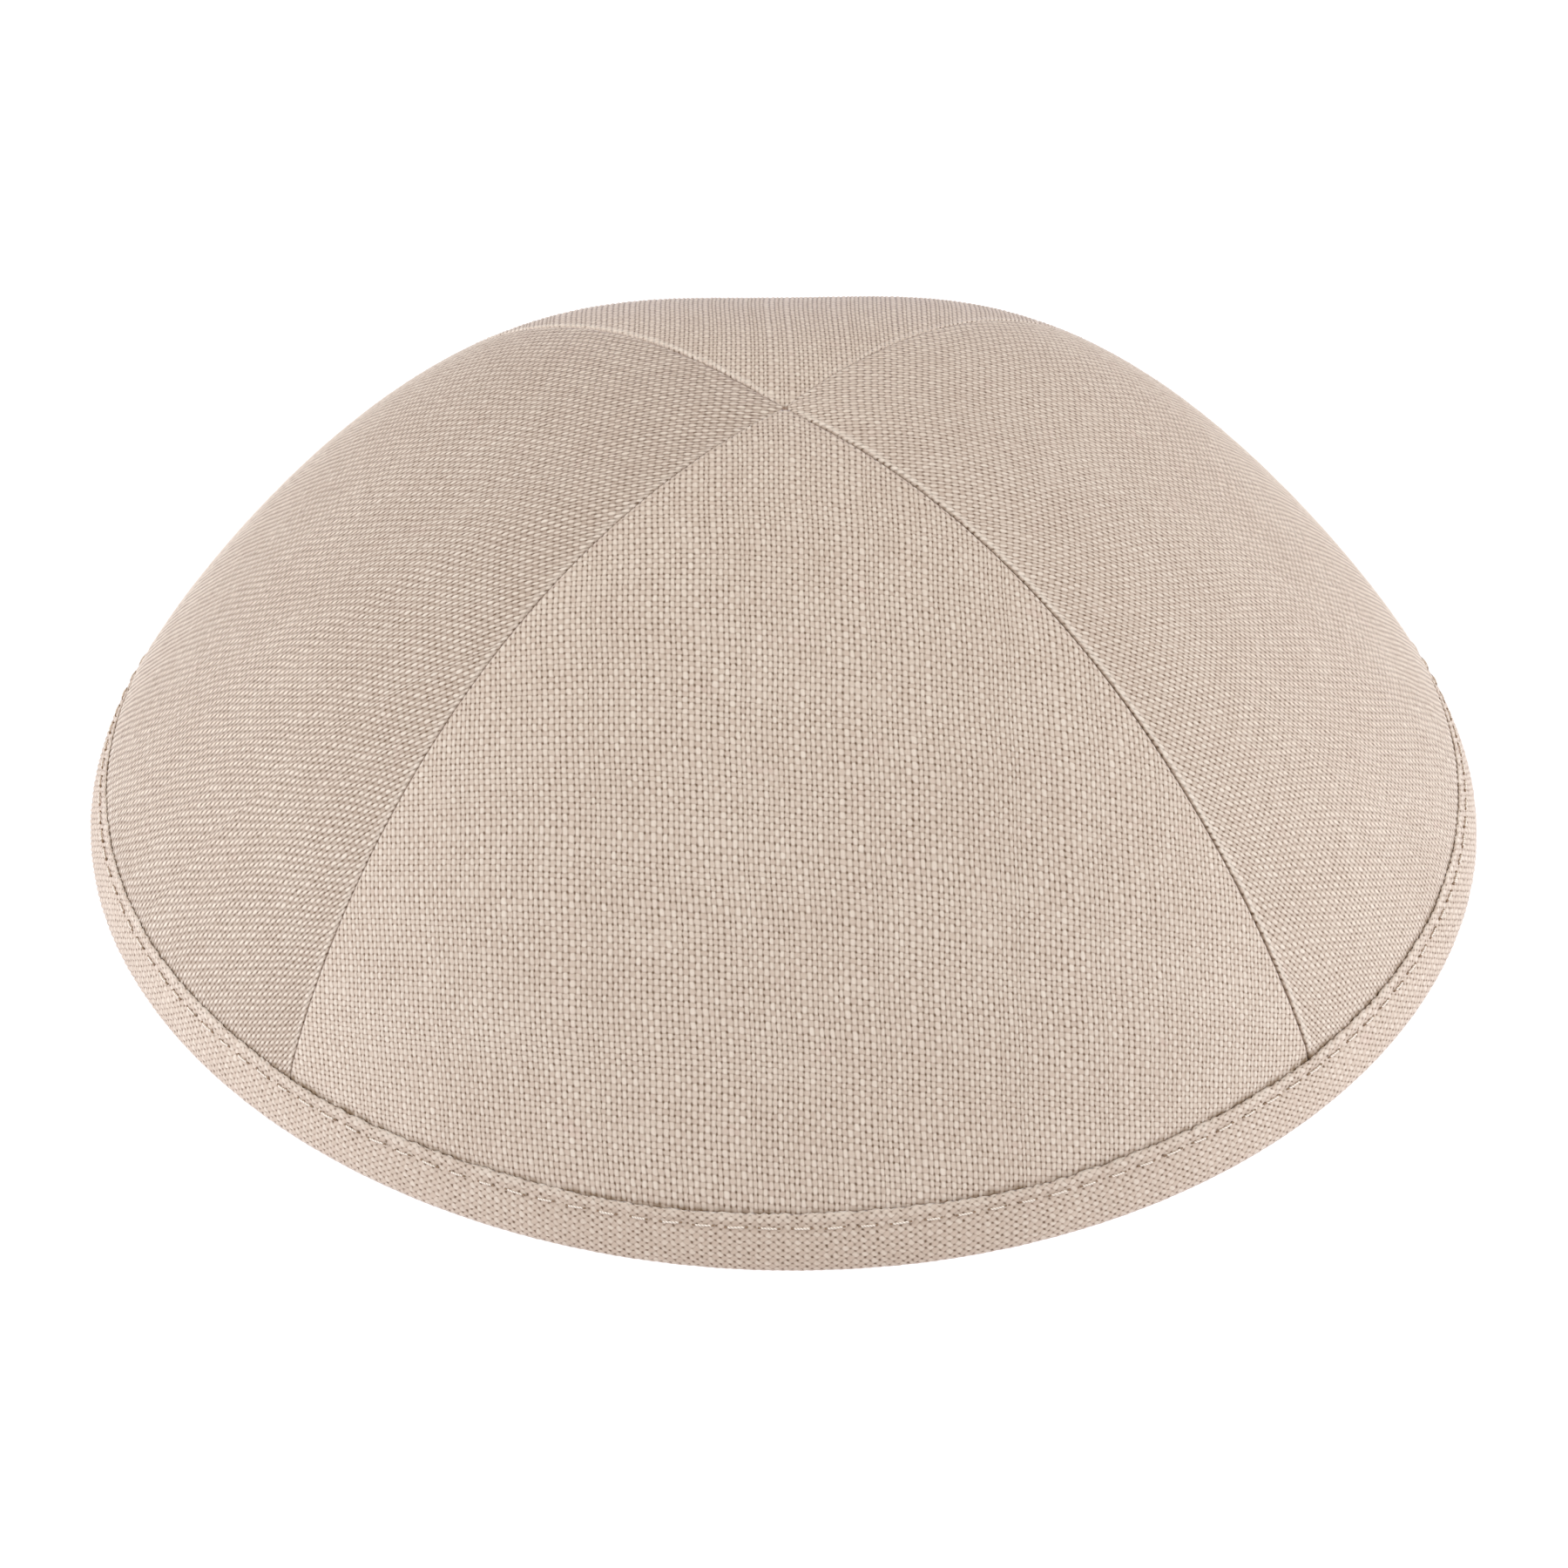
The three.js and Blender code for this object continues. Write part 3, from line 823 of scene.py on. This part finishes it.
def panel(place):
    pattern, rows = lattice(place)
    middle = MIDDLE_ANGLE[place]
    sides = {"outer": [], "inner": []}
    table, count = [], 0
    for side in sides:
        for r, (row, points) in enumerate(rows):
            whole = side == "outer" or r in (0, len(rows) - 1)
            half_threads = np.round(points[:, 0] * 2).astype(int)
            kept = np.full(len(points), whole) | (half_threads % INNER_EVERY == 0)
            kept[[0, -1]] = True
            chosen = points[kept]
            row_and_side = np.full((len(chosen), 2), (row, side == "inner"))
            sides[side].append((chosen[:, 0].tolist(), list(range(count, count + len(chosen)))))
            table.append(np.hstack([chosen, row_and_side]))
            count += len(chosen)
    table = np.vstack(table)
    warp, offset, share, weft, is_inner = table.T
    angle = middle + offset
    outward = skin_outward(angle, share)
    inner_depth = PANEL_THICKNESS + DIP_DEPTH * dip(share, DIP_HEIGHT) ** 2
    depth = np.where(is_inner == 1, inner_depth, panel_depth(place, offset, share))
    points = skin(angle, share) - outward * depth[:, None]

    faces = []
    for lower, upper in zip(sides["outer"], sides["outer"][1:]):
        faces += lace(lower, upper)
    for lower, upper in zip(sides["inner"], sides["inner"][1:]):
        faces += [face[::-1] for face in lace(lower, upper)]
    outer_edge, inner_edge = round_edge(sides["outer"]), round_edge(sides["inner"])
    outer_next, inner_next = np.roll(outer_edge, -1), np.roll(inner_edge, -1)
    faces += np.column_stack([outer_next, outer_edge, inner_edge, inner_next]).tolist()

    on_edge = np.zeros(len(table), bool)
    on_edge[outer_edge + inner_edge] = True
    relief = np.where((is_inner == 1) | on_edge, 0.0, np.clip(to_seam(offset, share) / GROOVE_WIDTH, 0.2, 1))
    threads = np.column_stack([warp, weft, np.zeros(len(table))])
    crease = panel_painted_shade_and_light(place, offset, share) * (is_inner == 0)
    width, height = np.ptp(pattern["warp"]), np.ptp(pattern["weft"])
    low = pattern["warp"].min(), pattern["weft"].min()

    flat = np.column_stack([(warp - low[0]) / width, (weft - low[1]) / height / 2 + 0.5 * is_inner])
    maps = {THREAD_MAP: threads[:, :2], BAKE_MAP: BAKE_MARGIN + (1 - 2 * BAKE_MARGIN) * flat}
    values = {THREADS: threads, OUTWARD: outward, RELIEF_SHARE: relief, PAINTED_SHADE_AND_LIGHT: crease}
    values[PAINTED_ROWS] = np.full(len(threads), float(PANEL_PAINTED_ROWS[place]))
    piece = cloth_object(f"linen_panel_{place}", points, faces, values, maps)
    return grown(piece, woven_relief, {"Seed": middle * 10 + 3, "Linen": panel_linen})


panels = {place: panel(place) for place in MIDDLE_ANGLE}
for place, piece in panels.items():
    print(piece.name, len(piece.data.polygons), "faces")

# %% [markdown]
# ## The bias binding
# The strip is cut at 45 degrees to the threads, because only a bias strip stretches round a curve
# without puckers. It is folded over the panels' edge, so its section is a narrow U that stands on the
# fold. Its mesh steps along and around the rim by half a thread's diagonal, which again puts a point
# on every crossing and every hollow. The strip was pulled tight round the rim, so its threads cross at
# less than a right angle, and the diagonal along the rim is the longer one.

# %% The section of the binding
BIAS_PITCH = 0.6 * MM
BIAS_STEP = BIAS_PITCH / math.sqrt(2)
RIM_STEP = 1.2 * BIAS_STEP
LEG_STEPS = 18
BINDING_DEPTH = 2.3 * MM
FOOT_INSET = 0.42 * MM
SLOT_FLOOR = 1.3 * MM
STITCH_HEIGHT = BINDING_WIDTH - 1.55 * MM
STITCH_PITCH = 3.5 * MM
STITCH_DENT, NEEDLE_DENT = 0.09 * MM, 0.1 * MM
GROOVE_REACH, NEEDLE_REACH = 0.45 * MM, 0.4 * MM
# A painted highlight along the top of the fold, and how far down it reaches
FOLD_LIGHT_HEIGHT, FOLD_LIGHT = 1.0 * MM, 0.4
FOLD_WAVES = 0.9 * MM  # the fold's edge isn't quite even
FOLD_BUMP = 0.13 * MM  # and each thread that turns over it makes a small bump
BINDING_STRAY = 2.0
ROUND_STEPS = 6
BAKE_STRIPS, BAKE_END_MARGIN, BAKE_SIDE_MARGIN = 8, 0.005, 0.03


def leg_profile():
    """Depth and height at even steps up the outer leg, from foot to fold, and the leg's length."""
    foot = [
        (FOOT_INSET * (1 - math.sin(t)), FOOT_INSET * 1.6 * (1 - math.cos(t)))
        for t in np.linspace(0, QUARTER, ROUND_STEPS)
    ]
    half = LEG_THICKNESS / 2
    crest = [
        (half * (1 - math.cos(t)), BINDING_WIDTH - half + half * math.sin(t))
        for t in np.linspace(0, QUARTER, ROUND_STEPS)
    ]
    depth, height, length = even_steps(np.array(foot + crest), LEG_STEPS + 1)
    return np.column_stack([depth, height]), length


outer_leg, LEG_RUN = leg_profile()
inner_leg = outer_leg[::-1] * (-1, 1) + (BINDING_DEPTH, 0)
slot = np.array(
    [
        (LEG_THICKNESS, BINDING_WIDTH - LEG_THICKNESS),
        (LEG_THICKNESS, BINDING_WIDTH / 2),
        (LEG_THICKNESS, SLOT_FLOOR),
        (BINDING_DEPTH - LEG_THICKNESS, SLOT_FLOOR),
        (BINDING_DEPTH - LEG_THICKNESS, BINDING_WIDTH / 2),
        (BINDING_DEPTH - LEG_THICKNESS, BINDING_WIDTH - LEG_THICKNESS),
    ]
)
foot_middle = np.array([(BINDING_DEPTH / 2, 0.0)])
section = np.vstack([outer_leg, slot, inner_leg, foot_middle])
print("binding section has", len(section), "points, leg", round(LEG_RUN / MM, 2), "mm")


# %% Making the binding
STITCHES = round(2 * math.pi * RIM_RADIUS / STITCH_PITCH)


def stitch_line(angle, depth):
    """Points along the row of stitches, their outward directions, and how many stitches come before each."""
    share = 1 - STITCH_HEIGHT / cloth_length(angle)
    outward = skin_outward(angle, share)
    line = skin(angle, share) - outward * depth
    steps = np.linalg.norm(np.roll(line, -1, axis=0) - line, axis=-1)
    before = np.concatenate([[0], np.cumsum(steps)[:-1]]) / steps.sum() * STITCHES
    return line, outward, before


def needle_hole(before, height):
    """1 at each needle hole, halfway between the middles of two stitches, and 0 away from it."""
    along = (before % 1 - 0.5) * STITCH_PITCH
    return np.exp(-((along / NEEDLE_REACH) ** 2) - ((height - STITCH_HEIGHT) / NEEDLE_REACH) ** 2)


def stitch_dent(before, height):
    """The stitches pull a shallow groove into each leg, deepest where the needle went in."""
    groove = np.exp(-(((height - STITCH_HEIGHT) / GROOVE_REACH) ** 2))
    return STITCH_DENT * groove + NEEDLE_DENT * needle_hole(before, height)


def binding():
    columns = int(round(2 * math.pi * RIM_RADIUS / RIM_STEP / 2) * 2)
    angle = np.arange(columns) * 2 * math.pi / columns
    last = len(section)
    up = np.where(np.arange(last) <= LEG_STEPS, np.arange(last), run_along(section) / BIAS_STEP)
    inner_start = LEG_STEPS + 1 + len(slot)
    up[inner_start : inner_start + LEG_STEPS + 1] = np.arange(LEG_STEPS + 1) + 2 * LEG_STEPS + 10
    up[-1] = up[-2] + 3
    facing = np.zeros(last)
    facing[: LEG_STEPS + 1] = 1
    facing[inner_start : inner_start + LEG_STEPS + 1] = -1
    grid_angle, depth = np.meshgrid(angle, section[:, 0], indexing="ij")
    height = np.broadcast_to(section[:, 1], depth.shape)
    on_floor = np.isclose(height, 0)
    # The threads stray along the rim, and the fold's edge a little up and down
    round_rim, level = RIM_RADIUS * np.cos(grid_angle), RIM_RADIUS * np.sin(grid_angle) + height * 2
    dice = np.random.default_rng(23)
    stray, edge_stray = wander(dice)(round_rim, level), wander(dice)(round_rim, level)
    grid_angle = grid_angle + BINDING_STRAY * stray / RIM_RADIUS * ~on_floor
    height = height + np.clip(edge_stray / MM, -1, 1) * FOLD_WAVES * (height / BINDING_WIDTH) ** 2
    bumps = dice.uniform(-1, 1, (columns, 1))
    height = height + bumps * FOLD_BUMP * (height / BINDING_WIDTH) ** 6
    share = 1 - height / cloth_length(grid_angle)
    outward = skin_outward(grid_angle, share)
    outside, inside = [stitch_line(angle, depth_of_line)[2][:, None] for depth_of_line in (0, BINDING_DEPTH)]
    before = np.where(facing[None, :] >= 0, outside, inside)
    depth = depth + stitch_dent(before, height) * facing
    points = skin(grid_angle, share) - outward * depth[..., None]
    points[..., 2] = np.where(on_floor, 0, points[..., 2])
    outward = outward * facing[None, :, None]
    i, j = np.meshgrid(np.arange(columns), up, indexing="ij")
    threads = np.stack([(i + j) / 2, (i - j) / 2, np.zeros(i.shape)], axis=-1).reshape(-1, 3)
    relief = (np.abs(facing)[None, :] * ~on_floor).astype(float)

    # Column and row of each corner of each face, going on past the last one where the ring closes
    face_column, face_row, _ = np.indices((columns, last, 4))
    column, row = (face_column + (0, 1, 1, 0)).ravel(), (face_row + (0, 0, 1, 1)).ravel()
    faces = (column % columns * last + row % last).reshape(-1, 4)
    up_and_round = np.append(up, up[-1] + 3)[row]
    thread_places = np.column_stack([(column + up_and_round) / 2, (column - up_and_round) / 2])
    strip = face_column.ravel() * BAKE_STRIPS // columns
    along = BAKE_END_MARGIN + (1 - 2 * BAKE_END_MARGIN) * (column / columns * BAKE_STRIPS - strip)
    across = (strip + BAKE_SIDE_MARGIN + (1 - 2 * BAKE_SIDE_MARGIN) * row / last) / BAKE_STRIPS
    # Painted highlight along the top of the fold, strongest on its bumps
    fold_highlight = np.clip(bumps + 0.4, 0, 1) * np.clip(1 - (BINDING_WIDTH - height) / FOLD_LIGHT_HEIGHT, 0, 1)
    crease = (-FOLD_LIGHT * fold_highlight).ravel()

    values = {THREADS: threads, OUTWARD: outward.reshape(-1, 3), RELIEF_SHARE: relief.ravel(), PAINTED_SHADE_AND_LIGHT: crease}
    values[PAINTED_ROWS] = np.zeros(len(threads))
    maps = {THREAD_MAP: thread_places, BAKE_MAP: np.column_stack([along, across])}
    piece = cloth_object("bias_binding", points.reshape(-1, 3), faces.tolist(), values, maps)
    even = {"Warp Gap": 0.05 * MM, "Weft Gap": 0.05 * MM, "Warp Rise": 0.05 * MM}
    return grown(piece, woven_relief, {"Seed": 71.0, "Linen": binding_linen, **even})


bias_binding = binding()
print(bias_binding.name, len(bias_binding.data.polygons), "faces")

# %% [markdown]
# ## Topstitching
# One row of lockstitch holds the binding, and shows as a dash, a needle hole, a dash. The dashes are
# many and all alike, so Geometry Nodes set them out: one short arched thread is put at even steps
# along the stitching line on both legs, turned to lie on the cloth, and each a little uneven.

# %% A tree that sets stitches along a line
STITCH_LENGTH, THREAD_RADIUS = 2.3 * MM, 0.115 * MM
STITCH_ARCH, STITCH_SINK, STITCH_PROUD = 0.06 * MM, 0.1 * MM, 0.08 * MM
HOLE_LENGTH = 0.4 * MM
SWING = 0.07  # radians either way
LENGTH_SHARES, ARCH_SHARES = (0.82, 1.08), (0.7, 1.3)  # the least and the most, of the sizes above
THREAD_PLACE = "thread_place"


def stitch_tree():
    sizes = {"Length": STITCH_LENGTH, "Radius": THREAD_RADIUS, "Arch": STITCH_ARCH, "Sink": STITCH_SINK}
    inputs = {"Line": "Geometry", **sizes, "Stitches": STITCHES, "Seed": 4, "Thread": "Material"}
    board, (line, length, radius, arch, sink, count, seed, thread) = new_tree("topstitches", inputs)

    start, end = [board.vector(length * half, 0.0, -sink) for half in (-0.5, 0.5)]
    top = board.vector(0.0, 0.0, arch * 2 + sink)
    arc_values = {"Resolution": 6, "Start": start, "Middle": top, "End": end}
    arc = board.node("GeometryNodeCurveQuadraticBezier", None, arc_values)
    round_thread = board.node("GeometryNodeCurvePrimitiveCircle", None, {"Resolution": 6, "Radius": radius})
    dash_values = {"Curve": arc, "Profile Curve": round_thread, "Fill Caps": True}
    dash = board.node("GeometryNodeCurveToMesh", None, dash_values)
    dash = board.node(
        "GeometryNodeStoreNamedAttribute",
        {"data_type": "FLOAT_VECTOR", "domain": "POINT"},
        {"Geometry": dash, "Name": THREAD_PLACE, "Value": board.node("GeometryNodeInputPosition")},
    )

    curve = board.node("GeometryNodeMeshToCurve", None, {"Mesh": line})
    points = board.node("GeometryNodeCurveToPoints", {"mode": "COUNT"}, {"Curve": curve, "Count": count})
    tangent = Wire(board, points.socket.node.outputs["Tangent"])
    outward = board.node("GeometryNodeInputNamedAttribute", {"data_type": "FLOAT_VECTOR"}, {"Name": OUTWARD})
    axes = {"primary_axis": "Z", "secondary_axis": "X"}
    lying = board.node("FunctionNodeAxesToRotation", axes, [outward, tangent])

    def chance(low, high, added_seed):
        values = {2: low, 3: high, 8: seed + added_seed}
        return board.node("FunctionNodeRandomValue", {"data_type": "FLOAT"}, values, output=1)

    euler = board.vector(0.0, 0.0, chance(-SWING, SWING, 1))
    both_turns = {"Rotation": lying, "Rotate By": board.node("FunctionNodeEulerToRotation", None, [euler])}
    turned = board.node("FunctionNodeRotateRotation", {"rotation_space": "LOCAL"}, both_turns)
    size = board.vector(chance(*LENGTH_SHARES, 2), 1.0, chance(*ARCH_SHARES, 3))
    placed = {"Points": points, "Instance": dash, "Rotation": turned, "Scale": size}
    return close_tree(board, board.node("GeometryNodeInstanceOnPoints", None, placed), thread)


# %% Stitching thread
STITCH_THREAD = linear(240, 226, 214)
PAINTED_PLY_SHADE = linear(200, 184, 168)
PAINTED_HOLE_SHADE = linear(140, 114, 92)
PLY_LENGTH, PLY_HEIGHT = 0.34 * MM, 0.3 * MM
FUZZ = 9000.0  # specks of fibre a metre


def twisted_thread(name):
    """Two-ply thread: slanting plies with painted shade between them, by each stitch's own coordinates, and
    painted shade where it enters its hole.
    """
    material = bpy.data.materials.new(name)
    board = empty_board(material)
    place = board.carried(THREAD_PLACE, output=1)
    along, across, _ = board.split(place)
    ply = ((along / PLY_LENGTH + across / PLY_HEIGHT) * 2 * math.pi).math("COSINE") * 0.5 + 0.5
    fibre = board.noise(board.scaled(place, FUZZ))
    # Painted shade in the grooves between the plies, with the fibre's own tone
    colour = board.mix((ply + fibre * 0.5).ramp(0.0, 0.7), PAINTED_PLY_SHADE, STITCH_THREAD)
    to_end = STITCH_LENGTH / 2 - along.math("ABSOLUTE")
    # Painted shade at both ends, where the thread goes into its needle hole
    colour = board.mix(to_end.ramp(HOLE_LENGTH * 0.6, HOLE_LENGTH), PAINTED_HOLE_SHADE, colour)
    relief = {"Strength": 0.5, "Distance": 0.03 * MM, "Height": ply + fibre * 0.3}
    bump = board.node("ShaderNodeBump", None, relief)
    finish = {"Base Color": colour, "Roughness": 0.75 - ply * 0.1, "Normal": bump, "Specular IOR Level": 0.3}
    thread = board.node("ShaderNodeBsdfPrincipled", None, finish)
    board.node("ShaderNodeOutputMaterial", None, {"Surface": thread})
    return material


stitch_thread = twisted_thread("stitch_thread")


# %% Sewing
LINE_POINTS = 720
BAKE_RADIUS = 0.45  # of the small square that each face has for itself


def stitching():
    angle = np.linspace(0, 2 * math.pi, LINE_POINTS, endpoint=False)
    mesh = bpy.data.meshes.new("topstitching")
    lines = [stitch_line(angle, depth) for depth in (-STITCH_PROUD, BINDING_DEPTH + STITCH_PROUD)]
    points = np.vstack([line for line, _, _ in lines])
    outward = np.vstack([lines[0][1], -lines[1][1]])
    loop = np.arange(len(angle))
    edges = np.vstack([np.column_stack([loop, np.roll(loop, -1)]) + start for start in (0, len(angle))])
    mesh.from_pydata(points.tolist(), edges.tolist(), [])
    mesh.attributes.new(OUTWARD, "FLOAT_VECTOR", "POINT").data.foreach_set("vector", outward.ravel())
    piece = grown(added("topstitching", mesh), stitch_tree(), {"Thread": stitch_thread})
    side = math.ceil(math.sqrt(len(piece.data.polygons)))
    layer = piece.data.uv_layers.new(name=BAKE_MAP)
    for face in piece.data.polygons:
        corners = len(face.loop_indices)
        for k, corner in enumerate(face.loop_indices):
            turn = 2 * math.pi * (k + 0.5) / corners
            across = face.index % side + 0.5 + BAKE_RADIUS * math.cos(turn)
            up = face.index // side + 0.5 + BAKE_RADIUS * math.sin(turn)
            layer.uv[corner].vector = (across / side, up / side)
        face.use_smooth = True
    return piece


topstitching = stitching()
print(topstitching.name, STITCHES, "stitches a side,", len(topstitching.data.polygons), "faces")

# %% [markdown]
# ## Floor and light
# The photograph has a pure white ground and soft light. It is warm from above, cooler from both sides,
# and weak from the camera's side and from behind. The world gives the even part, as a colour for each
# of these directions, and two large soft lamps the rest. The floor glows a little, to be pure white.

# %% The floor
HALF_FLOOR = 3.0
floor_mesh = bpy.data.meshes.new("floor")
floor_corners = [(x * HALF_FLOOR, y * HALF_FLOOR, 0) for x, y in ((-1, -1), (1, -1), (1, 1), (-1, 1))]
floor_mesh.from_pydata(floor_corners, [], [(0, 1, 2, 3)])
floor = added("floor", floor_mesh)
paper = bpy.data.materials.new("white_paper")
paper_board = empty_board(paper)
paper_finish = {
    "Base Color": (0.06, 0.06, 0.06, 1),
    "Roughness": 0.9,
    "Emission Color": (0.97, 0.95, 0.955, 1),
    "Emission Strength": 1.06,
}
white = paper_board.node("ShaderNodeBsdfPrincipled", None, paper_finish)
paper_board.node("ShaderNodeOutputMaterial", None, {"Surface": white})
floor_mesh.materials.append(paper)
print("floor", 2 * HALF_FLOOR, "m across")

# %% The world and the lamps
OVERHEAD, ALL_ROUND = (0.745, 0.69, 0.585, 1.0), (0.77, 0.775, 0.83, 1.0)
FROM_FRONT, FROM_BACK = (0.05, 0.035, 0.03, 1.0), (0.24, 0.18, 0.11, 1.0)
LAMP_SIZE, LAMP_COLOUR = 0.7, (0.77, 0.89, 1.0)
LAMPS = {"left_lamp": ((-0.89, -0.17, 0.41), 9.4), "right_lamp": ((0.89, -0.24, 0.34), 8.8)}

scene = bpy.context.scene
scene.view_settings.view_transform = "Standard"
scene.world = bpy.data.worlds.new("studio")
sky = empty_board(scene.world)
_, backwards, upwards = sky.split(sky.node("ShaderNodeTexCoord"))
level = sky.mix((-backwards).ramp(0.1, 1.0), ALL_ROUND, FROM_FRONT)
level = sky.mix(backwards.ramp(0.1, 1.0), level, FROM_BACK)
glow = sky.node("ShaderNodeBackground", None, {"Color": sky.mix(upwards.ramp(0.15, 1.0), level, OVERHEAD)})
sky.node("ShaderNodeOutputWorld", None, {"Surface": glow})

for name, (place, power) in LAMPS.items():
    light = bpy.data.lights.new(name, "AREA")
    light.energy, light.size, light.color = power, LAMP_SIZE, LAMP_COLOUR
    holder = added(name, light)
    holder.location = place
    holder.rotation_euler = (-Vector(place)).to_track_quat("-Z", "Y").to_euler()
print("lamps:", ", ".join(LAMPS))

# %% [markdown]
# ## Handing over
# Each piece rides on the cap's one body and stands for the frame's solid that it covers, which is
# hidden. Each panel's size when it was cut is looked up again.

# %% Riding and replacing
for place, piece in panels.items():
    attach(piece, "root")
    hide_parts(f"panel_{place}")
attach(bias_binding, "root")
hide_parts("rim_binding")
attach(topstitching, "root")

for place, piece in panels.items():
    width, length, area = flat_sizes[place]
